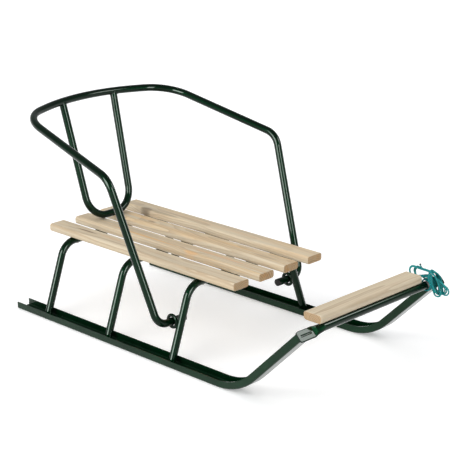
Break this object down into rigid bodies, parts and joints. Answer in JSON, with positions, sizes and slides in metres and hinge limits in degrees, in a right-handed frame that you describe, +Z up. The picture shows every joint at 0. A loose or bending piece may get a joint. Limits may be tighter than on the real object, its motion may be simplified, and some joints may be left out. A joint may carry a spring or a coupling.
{
  "type": "sled",
  "caption": "Child's steel-tube sled: channel runners turned up at the front, wooden seat slats and footrest, and a tube backrest that folds forward on ring hinges.",
  "frame": {"origin": "on the ground under the runners, midway along and across the sled without its tow rope", "axes": "+X forward to the upturned tips, +Y to the sled's left, +Z up"},
  "size_m": [0.8918, 0.4936, 0.4518],
  "materials": {
    "green_enamel": "glossy dark green enamel over steel",
    "bare_wood": "planed pale softwood, thinly varnished",
    "black_plug": "moulded black plastic tube plug",
    "teal_rope": "twisted polypropylene cord"
  },
  "bodies": {
    "frame": {"runner_right": "green_enamel", "runner_left": "green_enamel", "arch_rear": "green_enamel", "arch_middle": "green_enamel", "arch_front": "green_enamel", "crossbar": "green_enamel", "hinge_ring_right": "green_enamel", "hinge_ring_left": "green_enamel", "seat_slat_right_outer": "bare_wood", "seat_slat_right_inner": "bare_wood", "seat_slat_left_inner": "bare_wood", "seat_slat_left_outer": "bare_wood", "footrest_slat": "bare_wood", "tow_rope_hitch": "teal_rope", "tow_rope_hank": "teal_rope"},
    "backrest": {"backrest_hoop": "green_enamel", "backrest_loop": "green_enamel", "hoop_plug_right": "black_plug", "hoop_plug_left": "black_plug"}
  },
  "joints": [
    {"name": "backrest_fold", "type": "hinge", "parent": "frame", "child": "backrest", "pos_m": [0.03309, 0, 0.0797], "axis": [0, 1, 0], "range_deg": [0, 120]}
  ]
}
